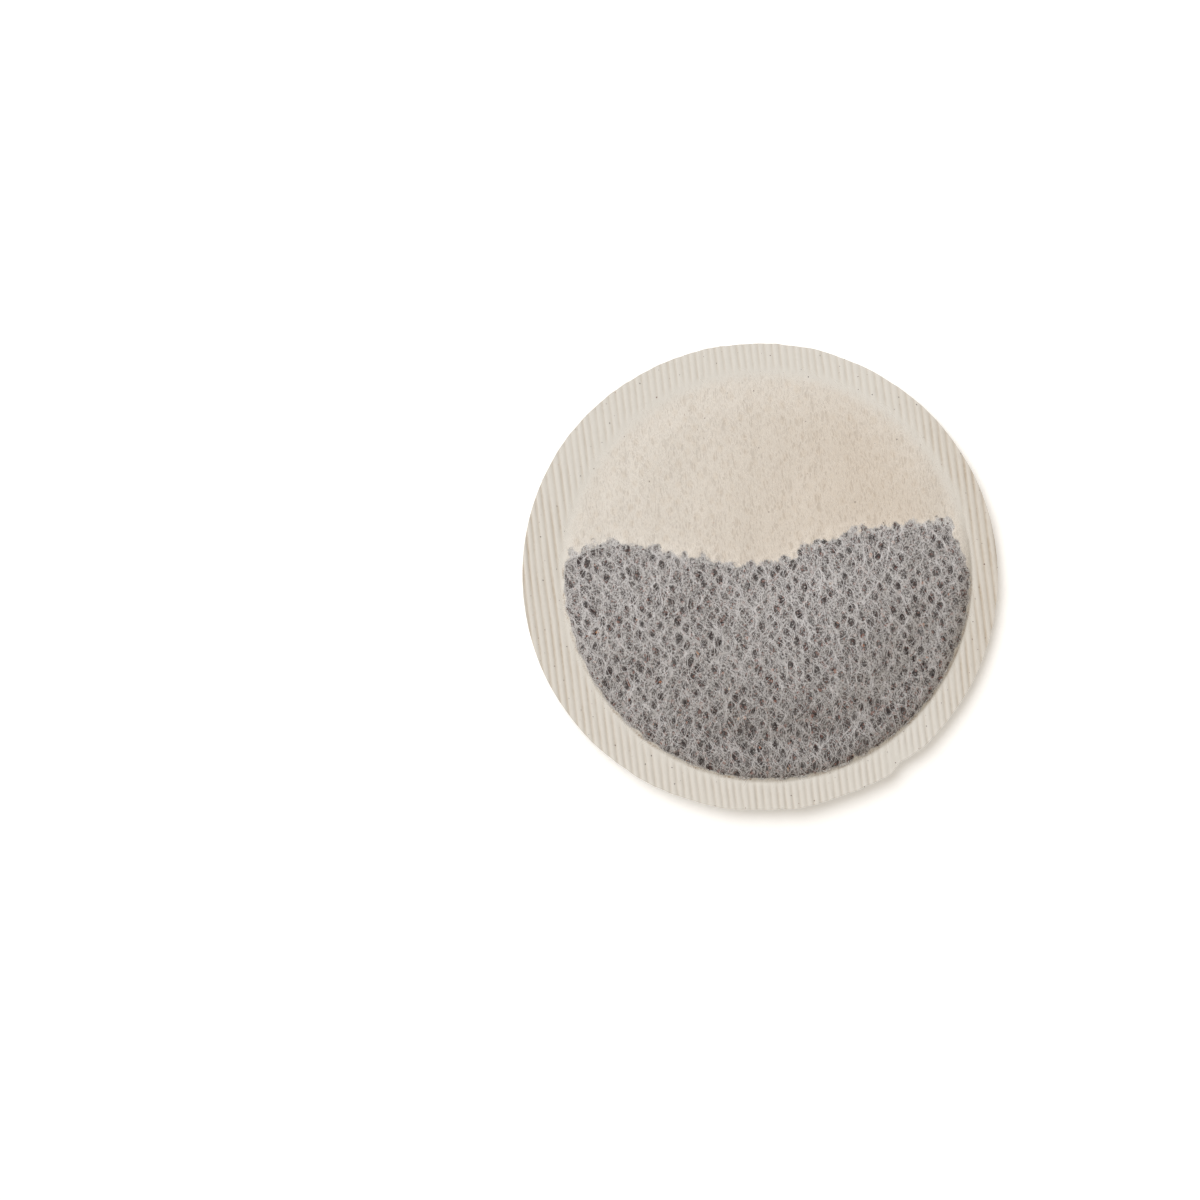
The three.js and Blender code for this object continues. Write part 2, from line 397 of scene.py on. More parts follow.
def make_object(name, points, faces, material=None):
    mesh = bpy.data.meshes.new(name)
    mesh.from_pydata((np.asarray(points) * MM).tolist(), [], faces)
    mesh.validate()
    mesh.shade_smooth()
    piece = bpy.data.objects.new(name, mesh)
    bpy.context.scene.collection.objects.link(piece)
    if material:
        mesh.materials.append(material)
    return piece


def points_of(piece):
    co = np.empty(len(piece.data.vertices) * 3)
    piece.data.vertices.foreach_get("co", co)
    return co.reshape(-1, 3) / MM


def store(piece, name, values):
    layer = piece.data.attributes.get(name) or piece.data.attributes.new(name, "FLOAT", "POINT")
    layer.data.foreach_set("value", np.asarray(values, dtype=np.float32))


def map_from_above(piece, reach):
    """A UV map that looks straight down, for the paper's fine pattern when it is baked."""
    layer = piece.data.uv_layers.new(name="OFBake")
    corner_vertex = np.empty(len(piece.data.loops), dtype=np.int32)
    piece.data.loops.foreach_get("vertex_index", corner_vertex)
    co = np.empty(len(piece.data.vertices) * 3, dtype=np.float32)
    piece.data.vertices.foreach_get("co", co)
    flat = co.reshape(-1, 3)[corner_vertex, :2] / (2 * reach * MM) + 0.5
    layer.uv.foreach_set("vector", flat.astype(np.float32).ravel())


def mark_paper(piece, points, spots):
    """What the paper's material reads: where tea lies behind it, how thin it is, where it is drawn
    tight over the tea, where the sheets lie apart, with painted shade there, where painted shade
    darkens the rim, and where it is dusty."""
    x, y = points[:, 0], points[:, 1]
    store(piece, "over_tea", tea_shows(x, y))
    store(piece, "thin", spots.thinness(x, y))
    store(piece, "tight", smooth(-y, 13, 25))
    # Painted shade where the sheets lie apart, deeper away from the upper left
    clear_of_seal = smooth(inside_seal(x, y), -3, 8)
    far_from_left = smooth(x - 0.6 * y, -28, 8) * (0.8 + 0.2 * smooth(x, 6, 18))
    store(piece, "parted", clear_of_seal * far_from_left)

    # Painted shade: the grooves are darker and warmer than the crests, and so is the seal towards the right,
    # where it leans away from the light, and a little towards the lower left
    groove, pressed = rib_grooves(x, y)
    shaded_grooves = groove ** 2 * pressed * (1 - 0.6 * smooth(-y, 10, 25))
    side_shade = 0.45 * smooth(x, 16, 30) + 0.16 * smooth(-x - y, 0, 30)
    store(piece, "warm", shaded_grooves + side_shade * smooth(-inside_seal(x, y), -2, 2))

    # Tea dust caught along the seal's inner edge
    dust_line = np.exp(-(((inside_seal(x, y) - 0.1) / 0.15) ** 2)) * smooth(inside_tea(x, y), -0.5, 0.5)
    dust_line *= 1 - slid(x, y) / TEA_SLID
    store(piece, "dusty", dust_line * np.clip(0.3 + ripples(x, y, DUST_PATCHES), 0, 1))


def paper_grid():
    """Columns along the ribs from cut edge to cut edge. The first and last columns are short and lie
    close to the tips of the disc."""
    columns = RIB_COUNT * STEPS_PER_RIB + 1
    xs = np.linspace(-BAG_RADIUS, BAG_RADIUS, columns)
    tip = 0.12 * RIB_PITCH / STEPS_PER_RIB
    xs[0] += tip
    xs[-1] -= tip
    share = np.linspace(0, 1, SHEET_ROWS + 1)
    low = cut_edge(xs, -1)
    high = cut_edge(xs, 1)
    y = low[:, None] + (high - low)[:, None] * share[None, :]
    x = np.repeat(xs[:, None], SHEET_ROWS + 1, axis=1)
    angle = np.arctan2(y, x)
    stretch = OVAL * (np.cos(2 * (angle - DISC_TURN)) - 0.25) - WIDER * np.cos(angle - DISC_TURN)
    stretch += WIDER * np.exp(-((angle - WIDER_AT) / WIDER_SPREAD) ** 2)
    stretch = 1 + stretch * smooth(np.hypot(x, y), SEAL_RADIUS - 2, BAG_RADIUS)
    return x * stretch, y * stretch


def grid_faces(columns, rows, facing_up):
    faces = []
    for c in range(columns - 1):
        for r in range(rows - 1):
            a = c * rows + r
            quad = (a, a + rows, a + rows + 1, a + 1)
            faces.append(quad if facing_up else quad[::-1])
    return faces


def grid_rim(columns, rows):
    """The grid's outline, anticlockwise from above."""
    last = (columns - 1) * rows
    south = [c * rows for c in range(columns)]
    east = [last + r for r in range(1, rows)]
    north = [c * rows + rows - 1 for c in range(columns - 2, -1, -1)]
    west = list(range(rows - 2, 0, -1))
    return south + east + north + west


def crease(sheet, rim):
    """Keeps the cut edge crisp where the sheet's face turns down."""
    on_rim = np.zeros(len(sheet.data.vertices), dtype=bool)
    on_rim[rim] = True
    ends = np.empty(2 * len(sheet.data.edges), dtype=np.int32)
    sheet.data.edges.foreach_get("vertices", ends)
    sharp = sheet.data.attributes.new("sharp_edge", "BOOLEAN", "EDGE")
    sharp.data.foreach_set("value", on_rim[ends.reshape(-1, 2)].all(axis=1))


def make_upper_sheet(material):
    """The upper disc's outer face, turned down at the cut edge as far as the lower disc's."""
    x, y = paper_grid()
    columns, rows = x.shape
    points = np.stack([x, y, upper_top(x, y)], axis=-1).reshape(-1, 3)
    faces = grid_faces(columns, rows, True)
    rim = grid_rim(columns, rows)
    foot = points[rim].copy()
    foot[:, 2] = lower_underside(foot[:, 0], foot[:, 1])
    count = len(points)
    for i in range(len(rim)):
        j = (i + 1) % len(rim)
        faces.append((rim[j], rim[i], count + i, count + j))
    all_points = np.vstack([points, foot])
    sheet = make_object("upper_sheet", all_points, faces, material)
    crease(sheet, rim)
    mark_paper(sheet, all_points, upper_spots)
    map_from_above(sheet, BAG_RADIUS + 0.5)
    return sheet


def make_lower_sheet(material):
    x, y = paper_grid()
    columns, rows = x.shape
    points = np.stack([x, y, lower_underside(x, y)], axis=-1).reshape(-1, 3)
    sheet = make_object("lower_sheet", points, grid_faces(columns, rows, False), material)
    mark_paper(sheet, points, lower_spots)
    map_from_above(sheet, BAG_RADIUS + 0.5)
    return sheet


def tea_reach(angle, margin, beyond):
    """Distance from the tea's centre to the end of the bed: short of the seal by margin, or past the
    free edge by beyond."""
    low = np.zeros_like(angle)
    high = np.full_like(angle, 2 * BAG_RADIUS)
    for _ in range(24):
        middle = (low + high) / 2
        x = TEA_CENTRE[0] + middle * np.cos(angle)
        y = TEA_CENTRE[1] + middle * np.sin(angle)
        inside = (inside_seal(x, y) > margin + slid(x, y)) & (inside_tea(x, y) > -beyond)
        low = np.where(inside, middle, low)
        high = np.where(inside, high, middle)
    return low


def bed_faces(count):
    """Rings of the bed's top and underside, a fan in the middle of each, and a wall round the rim."""
    faces = []
    for r in range(BED_RINGS - 1):
        for s in range(BED_SPOKES):
            a = r * BED_SPOKES + s
            b = r * BED_SPOKES + (s + 1) % BED_SPOKES
            faces.append((a, b, b + BED_SPOKES, a + BED_SPOKES))
            faces.append((a + BED_SPOKES + count, b + BED_SPOKES + count, b + count, a + count))
    inmost = (BED_RINGS - 1) * BED_SPOKES
    for s in range(BED_SPOKES):
        after = (s + 1) % BED_SPOKES
        a = inmost + s
        b = inmost + after
        faces.append((a, b, count - 1))
        faces.append((b + count, a + count, 2 * count - 1))
        faces.append((s + count, after + count, after, s))
    return faces


def make_bed(name, margin, beyond, gap, material=None):
    """A closed bed of tea that keeps a gap to both sheets, or meets itself halfway where they are close."""
    angle = np.linspace(0, 2 * math.pi, BED_SPOKES, endpoint=False)
    share = 1 - np.linspace(0, 1, BED_RINGS + 1)[:-1] ** 1.5
    radius = tea_reach(angle, margin, beyond)[None, :] * share[:, None]
    x = np.append((TEA_CENTRE[0] + radius * np.cos(angle)).ravel(), TEA_CENTRE[0])
    y = np.append((TEA_CENTRE[1] + radius * np.sin(angle)).ravel(), TEA_CENTRE[1])
    low = lower_top(x, y)
    high = upper_underside(x, y)
    kept = np.minimum(gap, 0.42 * (high - low))
    points = np.vstack([np.stack([x, y, high - kept], -1), np.stack([x, y, low + kept], -1)])
    return make_object(name, points, bed_faces(len(x)), material)


# ---- Nodes ----

MATHS = "ShaderNodeMath"
RANGE = "ShaderNodeMapRange"
NOISE = "ShaderNodeTexNoise"


def add(tree, kind, inputs=None, **settings):
    """Adds a node with its settings. An input is a value, another node whose first output is linked,
    or any node's output."""
    made = tree.nodes.new(kind)
    for name, value in settings.items():
        setattr(made, name, value)
    for key, value in (inputs or {}).items():
        if isinstance(value, bpy.types.Node):
            value = value.outputs[0]
        if isinstance(value, bpy.types.NodeSocket):
            tree.links.new(value, made.inputs[key])
        else:
            made.inputs[key].default_value = value
    return made


def linear(hex_colour):
    """An sRGB hex colour as linear red, green, blue and alpha."""
    parts = [int(hex_colour[i:i + 2], 16) / 255 for i in (1, 3, 5)]
    return (*(p / 12.92 if p <= 0.04045 else ((p + 0.055) / 1.055) ** 2.4 for p in parts), 1)


def new_material(name, roughness, specular):
    material = bpy.data.materials.new(name)
    material.use_nodes = True
    tree = material.node_tree
    tree.nodes.clear()
    shader = add(tree, "ShaderNodeBsdfPrincipled", {"Roughness": roughness, "Specular IOR Level": specular})
    add(tree, "ShaderNodeOutputMaterial", {"Surface": shader})
    return material, tree, shader


def place_in_mm(tree):
    where = add(tree, "ShaderNodeTexCoord").outputs["Object"]
    return add(tree, "ShaderNodeVectorMath", {0: where, "Scale": 1 / MM}, operation="SCALE")


# ---- The filter paper's material ----

def fine_lines(tree, flat, lines, drawn_out, detail):
    """1 along thin wandering lines and 0 between them: the level lines of noise that is drawn out."""
    together = None
    for turn, count, width, seed in lines:
        turned = add(tree, "ShaderNodeMapping", {"Vector": flat, "Location": (seed, seed * 2, 0),
                                                 "Rotation": (0, 0, math.radians(turn)),
                                                 "Scale": (count, count * drawn_out, 1)})
        level = add(tree, NOISE, {"Vector": turned, "Scale": 1.0, "Detail": detail, "Roughness": 0.5})
        off_level = add(tree, MATHS, {0: level, 1: 0.5}, operation="SUBTRACT")
        off_level = add(tree, MATHS, {0: off_level}, operation="ABSOLUTE")
        line = add(tree, RANGE, {"Value": off_level, "From Max": width, "To Min": 1.0, "To Max": 0.0},
                   interpolation_type="SMOOTHSTEP")
        if together is None:
            together = line
        else:
            together = add(tree, MATHS, {0: together, 1: line}, operation="MAXIMUM")
    return together


def tea_behind(tree, seen, felt):
    """Where tea shows through: its edges show grain by grain, and first behind the thin spots."""
    none = add(tree, MATHS, {0: 1.0, 1: seen["over_tea"]}, operation="SUBTRACT")
    at_edge = add(tree, MATHS, {0: seen["over_tea"], 1: none}, operation="MULTIPLY")
    shift = add(tree, MATHS, {0: felt, 1: 9.0, 2: -5.3}, operation="MULTIPLY_ADD")
    shift = add(tree, MATHS, {0: seen["thin"], 1: 2.4, 2: shift}, operation="MULTIPLY_ADD")
    shifted = add(tree, MATHS, {0: at_edge, 1: shift, 2: seen["over_tea"]}, operation="MULTIPLY_ADD")
    return add(tree, RANGE, {"Value": shifted, "From Min": 0.3, "From Max": 0.7},
               interpolation_type="SMOOTHSTEP")


def web_cover(tree, seen, over_tea, felt, cloud, strands, hairs):
    """How much of the view the web stops. Where no tea parts the sheets, light goes back and forth
    between them and they look denser."""
    cover = add(tree, MATHS, {0: over_tea, 1: LOOSE_WEB - CLOSE_WEB, 2: CLOSE_WEB}, operation="MULTIPLY_ADD")

    # Uneven with the felt, most of all in the thin spots, with the cloud, and thinner where it is tight
    clump = add(tree, MATHS, {0: felt, 1: 0.5}, operation="SUBTRACT")
    contrast = add(tree, MATHS, {0: seen["thin"], 1: 1.9, 2: 1.8}, operation="MULTIPLY_ADD")
    uneven = add(tree, MATHS, {0: clump, 1: contrast}, operation="MULTIPLY")
    uneven = add(tree, MATHS, {0: uneven, 1: -0.125}, operation="ADD")
    for source, strength in ((cloud, 0.25), (seen["thin"], -0.42), (seen["tight"], -0.10)):
        uneven = add(tree, MATHS, {0: source, 1: strength, 2: uneven}, operation="MULTIPLY_ADD")
    shows = add(tree, MATHS, {0: over_tea, 1: 0.93, 2: 0.07}, operation="MULTIPLY_ADD")
    uneven = add(tree, MATHS, {0: uneven, 1: shows}, operation="MULTIPLY")
    cover = add(tree, MATHS, {0: cover, 1: uneven}, operation="ADD")
    cover = add(tree, MATHS, {0: cover, 1: LEAST_COVER}, operation="MAXIMUM")

    # Strands and hairs lie over that, fewer of them across the thin spots
    parting = add(tree, MATHS, {0: seen["thin"], 1: over_tea}, operation="MULTIPLY")
    for lines, fewer, strength in ((strands, -0.13, 0.17), (hairs, -0.04, 0.10)):
        amount = add(tree, MATHS, {0: parting, 1: fewer, 2: strength}, operation="MULTIPLY_ADD")
        cover = add(tree, MATHS, {0: lines, 1: amount, 2: cover}, operation="MULTIPLY_ADD")
    return cover


def seal_share(tree, seen, flat, felt):
    """1 in the seal and 0 inside it. The seal starts later where tea lies against it."""
    off_centre = add(tree, "ShaderNodeVectorMath", {0: flat, 1: (SEAL_SHIFT, 0, 0)},
                     operation="DISTANCE").outputs["Value"]
    starts = add(tree, MATHS, {0: seen["over_tea"], 1: 1.4, 2: SEAL_RADIUS - 1.6}, operation="MULTIPLY_ADD")
    ragged = add(tree, MATHS, {0: off_centre, 1: 0.8}, operation="SUBTRACT")
    ragged = add(tree, MATHS, {0: felt, 1: 1.6, 2: ragged}, operation="MULTIPLY_ADD")
    return add(tree, RANGE, {"Value": ragged, "From Min": starts, "From Max": SEAL_RADIUS + 0.35},
               interpolation_type="SMOOTHSTEP")


def paper_tone(tree, seen, over_tea, sealed, strands, felt):
    """The paper's colour: one tone mixed over another, each by its own share."""
    # Painted shade: thin spots look darker and warmer, as the shaded sheet behind shows through
    thin_shade_share = add(tree, MATHS, {0: seen["thin"], 1: 0.32}, operation="MULTIPLY")
    # Painted shade in the rim's grooves and on its right-hand side
    groove_shade_share = add(tree, MATHS, {0: seen["warm"], 1: 0.6}, operation="MULTIPLY")
    streak_share = add(tree, MATHS, {0: over_tea, 1: 0.1, 2: 0.2}, operation="MULTIPLY_ADD")
    streak_share = add(tree, MATHS, {0: strands, 1: streak_share}, operation="MULTIPLY")
    dust_share = add(tree, RANGE, {"Value": felt, "From Min": 0.42, "From Max": 0.6, "To Max": 1.4},
                     interpolation_type="SMOOTHSTEP")
    dust_share = add(tree, MATHS, {0: seen["dusty"], 1: dust_share}, operation="MULTIPLY")
    tone = linear(PAPER_WARM)
    # The parted sheets' tone is painted shade
    for share, colour in ((seen["parted"], PAPER_PARTED_SHADE), (thin_shade_share, PAPER_THIN_SHADE),
                          (over_tea, PAPER_OVER_TEA), (sealed, PAPER_SEALED), (groove_shade_share, PAPER_GROOVE_SHADE),
                          (streak_share, PAPER_STREAK), (dust_share, PAPER_DUSTY)):
        mixed = add(tree, "ShaderNodeMix", {"Factor": share, "A": tone, "B": linear(colour)},
                    data_type="RGBA")
        tone = mixed.outputs["Result"]
    return tone


def filter_paper(name):
    """Heat-seal filter paper, a wet-laid non-woven of abaca and plastic fibres. Matt and off-white, so
    open that what lies behind it shows, most of all at the oval thin spots that the forming wire left."""
    material, tree, shader = new_material(name, roughness=0.9, specular=0.25)
    flat = add(tree, "ShaderNodeVectorMath", {0: place_in_mm(tree), 1: (1, 1, 0)}, operation="MULTIPLY")
    seen = {layer: add(tree, "ShaderNodeAttribute", attribute_name=layer).outputs["Fac"]
            for layer in ("over_tea", "thin", "tight", "parted", "warm", "dusty")}

    # Felt is the mat of the finest fibres, and cloud is how evenly they were laid
    felt = add(tree, NOISE, {"Vector": flat, "Scale": FELT_PER_MM, "Detail": 2.0, "Roughness": 0.7})
    cloud = add(tree, NOISE, {"Vector": flat, "Scale": CLOUD_PER_MM, "Detail": 2.0})
    strands = fine_lines(tree, flat, STRANDS, drawn_out=0.28, detail=2.5)
    hairs = fine_lines(tree, flat, HAIRS, drawn_out=1.1 / 2.6, detail=1.0)

    # In the seal both sheets are melted together, so nearly nothing shows through
    over_tea = tea_behind(tree, seen, felt)
    cover = web_cover(tree, seen, over_tea, felt, cloud, strands, hairs)
    sealed = seal_share(tree, seen, flat, felt)
    fused = add(tree, MATHS, {0: SEALED_WEB, 1: cover}, operation="SUBTRACT")
    fused = add(tree, MATHS, {0: sealed, 1: fused}, operation="MULTIPLY")
    cover = add(tree, MATHS, {0: cover, 1: fused}, operation="ADD", use_clamp=True)
    tree.links.new(cover.outputs[0], shader.inputs["Alpha"])
    tree.links.new(paper_tone(tree, seen, over_tea, sealed, strands, felt), shader.inputs["Base Color"])

    clumps = add(tree, MATHS, {0: felt, 1: 0.5}, operation="MULTIPLY")
    height = add(tree, MATHS, {0: strands, 1: 0.35, 2: clumps}, operation="MULTIPLY_ADD")
    strength = add(tree, MATHS, {0: over_tea, 1: 0.25, 2: 0.4}, operation="MULTIPLY_ADD")
    relief = add(tree, "ShaderNodeBump", {"Height": height, "Strength": strength, "Distance": 0.03 * MM})
    tree.links.new(relief.outputs[0], shader.inputs["Normal"])
    return material


def loose_fibre(name):
    """Abaca fibre bundles on the face of the web: pale, matt and thin enough to see through."""
    material, tree, shader = new_material(name, roughness=0.85, specular=0.25)
    over_tea = add(tree, "ShaderNodeAttribute", attribute_name="over_tea").outputs["Fac"]
    tone = add(tree, "ShaderNodeMix", {"Factor": over_tea, "A": linear(FIBRE_WARM),
                                       "B": linear(FIBRE_OVER_TEA)}, data_type="RGBA")
    tree.links.new(tone.outputs["Result"], shader.inputs["Base Color"])
    cover = add(tree, RANGE, {"Value": over_tea, "To Min": FIBRE_COVER_EMPTY, "To Max": FIBRE_COVER})
    tree.links.new(cover.outputs[0], shader.inputs["Alpha"])
    return material


def dried_tea(name):
    """Black tea fannings: withered leaf, rolled, cut small and dried. Dull, nearly black grains, a few
    of them red-brown bits of stem."""
    material, tree, shader = new_material(name, roughness=0.7, specular=0.15)
    tone = add(tree, "ShaderNodeAttribute", attribute_name="leaf_tone").outputs["Fac"]
    shade = add(tree, "ShaderNodeValToRGB", {"Fac": tone})
    stops = shade.color_ramp.elements
    while len(stops) < len(TEA_TONES):
        stops.new(0.5)
    for stop, (at, colour) in zip(stops, TEA_TONES):
        stop.position = at
        stop.color = linear(colour)
    tree.links.new(shade.outputs["Color"], shader.inputs["Base Color"])
    wrinkles = add(tree, NOISE, {"Vector": place_in_mm(tree), "Scale": TEA_WRINKLES_PER_MM, "Detail": 3.0})
    relief = add(tree, "ShaderNodeBump", {"Height": wrinkles, "Strength": 0.7, "Distance": 0.08 * MM})
    tree.links.new(relief.outputs[0], shader.inputs["Normal"])
    return material


# ---- Shapes that are strewn ----

def close_hull(mesh):
    work = bmesh.new()
    work.from_mesh(mesh)
    bmesh.ops.convex_hull(work, input=work.verts)
    bmesh.ops.recalc_face_normals(work, faces=work.faces)
    work.to_mesh(mesh)
    work.free()


def make_grain_shapes():
    """A few angular crumbs of tea, one of them a bit of stem, of about unit radius."""
    shapes = bpy.data.collections.new("grain_shapes")
    rng = np.random.default_rng(11)
    golden = (1 + math.sqrt(5)) / 2
    for number, stretch in enumerate(((1, 0.8, 0.7), (1.1, 0.7, 0.8), (0.9, 0.9, 0.6), (1.3, 0.55, 0.5))):
        mesh = bpy.data.meshes.new(f"grain_{number}")
        corners = []
        for a in (-1, 1):
            for b in (-golden, golden):
                corners += [(0, a, b), (a, b, 0), (b, 0, a)]
        corners = np.array(corners) / math.hypot(1, golden)
        corners *= rng.uniform(0.72, 1.15, (12, 1)) * np.array(stretch)
        mesh.from_pydata(corners.tolist(), [], [])
        shapes.objects.link(bpy.data.objects.new(mesh.name, mesh))
        close_hull(mesh)
    return shapes


def make_fibre_shapes():
    """Curved flat ribbons, laid along Y, each a few millimetres long and tapered to its ends."""
    shapes = bpy.data.collections.new("fibre_shapes")
    rng = np.random.default_rng(5)
    share = np.linspace(0, 1, FIBRE_STEPS + 1)
    for number in range(12):
        length = rng.uniform(*FIBRE_LENGTH)
        width = rng.uniform(*FIBRE_WIDTH)
        curve = rng.normal(0, 0.7)
        waver = rng.normal(0, 0.25)
        bend = curve * (share - 0.5) + waver * np.sin(9 * share + rng.uniform(0, 6))
        step = length / FIBRE_STEPS
        x = np.cumsum(np.sin(bend)) * step
        y = np.cumsum(np.cos(bend)) * step
        x -= x.mean()
        y -= y.mean()
        half = width / 2 * np.minimum(1, 4 * np.minimum(share, 1 - share) + 0.3)
        left = np.stack([x - half * np.cos(bend), y + half * np.sin(bend), 0 * x], -1)
        right = np.stack([x + half * np.cos(bend), y - half * np.sin(bend), 0 * x], -1)
        points = np.stack([left, right], 1).reshape(-1, 3)
        faces = [(2 * k, 2 * k + 1, 2 * k + 3, 2 * k + 2) for k in range(FIBRE_STEPS)]
        mesh = bpy.data.meshes.new(f"fibre_{number}")
        mesh.from_pydata((points * MM).tolist(), [], faces)
        shapes.objects.link(bpy.data.objects.new(mesh.name, mesh))
    return shapes


def scatter_tree():
    """Shapes strewn over a surface, thinned by its crowd attribute and shrunk by its room attribute."""
    tree = bpy.data.node_groups.new("strewn_shapes", "GeometryNodeTree")
    face = tree.interface
    for name, kind in (("Geometry", "NodeSocketGeometry"), ("Spacing", "NodeSocketFloat"),
                       ("Per square metre", "NodeSocketFloat"), ("Smallest", "NodeSocketFloat"),
                       ("Largest", "NodeSocketFloat"), ("Least turn", "NodeSocketVector"),
                       ("Most turn", "NodeSocketVector"), ("Seed", "NodeSocketInt"),
                       ("Shapes", "NodeSocketCollection"), ("Material", "NodeSocketMaterial")):
        face.new_socket(name, in_out="INPUT", socket_type=kind)
    face.new_socket("Geometry", in_out="OUTPUT", socket_type="NodeSocketGeometry")
    given = add(tree, "NodeGroupInput").outputs
    crowd = add(tree, "GeometryNodeInputNamedAttribute", {"Name": "crowd"}, data_type="FLOAT")
    room = add(tree, "GeometryNodeInputNamedAttribute", {"Name": "room"}, data_type="FLOAT")
    strewn = add(tree, "GeometryNodeDistributePointsOnFaces",
                 {"Mesh": given["Geometry"], "Distance Min": given["Spacing"],
                  "Density Max": given["Per square metre"], "Density Factor": crowd, "Seed": given["Seed"]},
                 distribute_method="POISSON")

    # Any turn between two limits, and any size, small ones more often
    turn = add(tree, "FunctionNodeRandomValue", {0: given["Least turn"], 1: given["Most turn"],
                                                 "Seed": given["Seed"]}, data_type="FLOAT_VECTOR")
    size = add(tree, "FunctionNodeRandomValue", {2: 0.0, 3: 1.0, "Seed": given["Seed"]}, data_type="FLOAT")
    size = add(tree, MATHS, {0: size.outputs[1], 1: 1.6}, operation="POWER")
    size = add(tree, RANGE, {"Value": size, "To Min": given["Smallest"], "To Max": given["Largest"]})
    size = add(tree, MATHS, {0: size, 1: room}, operation="MULTIPLY")
    shapes = add(tree, "GeometryNodeCollectionInfo", {"Collection": given["Shapes"],
                                                      "Separate Children": True, "Reset Children": True})
    placed = add(tree, "GeometryNodeInstanceOnPoints",
                 {"Points": strewn, "Instance": shapes, "Pick Instance": True, "Rotation": turn,
                  "Scale": size})

    # Each shape has a tone of its own
    number = add(tree, "GeometryNodeInputIndex")
    tone = add(tree, "FunctionNodeRandomValue", {2: 0.0, 3: 1.0, "ID": number, "Seed": 5}, data_type="FLOAT")
    toned = add(tree, "GeometryNodeStoreNamedAttribute",
                {"Geometry": placed, "Name": "leaf_tone", "Value": tone.outputs[1]},
                data_type="FLOAT", domain="INSTANCE")
    real = add(tree, "GeometryNodeRealizeInstances", {"Geometry": toned})
    done = add(tree, "GeometryNodeSetMaterial", {"Geometry": real, "Material": given["Material"]})
    add(tree, "NodeGroupOutput", {"Geometry": done})
    return tree


# ---- The bag ----

paper = filter_paper("heat_seal_filter_paper")
fibre = loose_fibre("abaca_fibre_bundles")
tea = dried_tea("black_tea_fannings")
strewing = scatter_tree()
grain_shapes = make_grain_shapes()
fibre_shapes = make_fibre_shapes()


def strew(name, ground, **inputs):
    """The plain mesh of shapes that the scatter tree strews over ground."""
    modifier = ground.modifiers.new("strewn", "NODES")
    modifier.node_group = strewing
    for item in strewing.interface.items_tree:
        if item.in_out == "INPUT" and item.name in inputs:
            modifier[item.identifier] = inputs[item.name]
    seen = ground.evaluated_get(bpy.context.evaluated_depsgraph_get())
    mesh = bpy.data.meshes.new_from_object(seen)
    mesh.name = name
    ground.modifiers.remove(modifier)
    piece = bpy.data.objects.new(name, mesh)
    bpy.context.scene.collection.objects.link(piece)
    return piece


def ground_like(sheet):
    """A copy of a sheet to strew over, so that the sheet keeps no attribute from it."""
    ground = sheet.copy()
    ground.data = sheet.data.copy()
    bpy.context.scene.collection.objects.link(ground)
    return ground


def strew_tea(name, gap, spacing, smallest, largest, inner_share, seed):
    """Tea grains strewn over a bed that lies the gap below the sheets, small where the sheets are
    close. Away from the bed's edges only the inner share of them is kept."""
    skin = make_bed("tea_skin", margin=0.04, beyond=1.6, gap=gap)
    where = points_of(skin)
    x, y = where[:, 0], where[:, 1]
    near_edge = 1 - smooth(np.minimum(inside_seal(x, y), inside_tea(x, y) + 1), 0.5, 1.8)
    store(skin, "crowd", tea_shows(x, y) ** 0.7 * (inner_share + (1 - inner_share) * near_edge))
    between = upper_underside(x, y) - lower_top(x, y)
    store(skin, "room", np.clip(0.45 * between / largest, 0.25, 1))
    grains = strew(name, skin, Shapes=grain_shapes, Material=tea, Spacing=spacing * MM,
                   Smallest=smallest * MM, Largest=largest * MM, Seed=seed,
                   **{"Per square metre": 3 / (spacing * MM) ** 2}, **TUMBLED)
    bpy.data.objects.remove(skin)
    return grains


def push_off_spots(fibres, spots, yields):
    """The fibres' x and y once they have moved off the thin spots, each sideways as one whole width."""
    x, y = fibres[:, :, 0], fibres[:, :, 1]
    left = np.arange(FIBRE_POINTS) // 2 * 2
    middle_x = (x[:, left] + x[:, left + 1]) / 2
    middle_y = (y[:, left] + y[:, left + 1]) / 2
    across, along, depth = spots.nearest(middle_x, middle_y)
    away = np.maximum(np.hypot(across, along), 0.05)
    push = FIBRE_PUSH * yields * depth ** 0.5 * np.clip(1 - away / 1.8, 0, 1) / away
    return x + push * across * SPOT_HALF_WIDTH, y + push * along * SPOT_HALF_HEIGHT


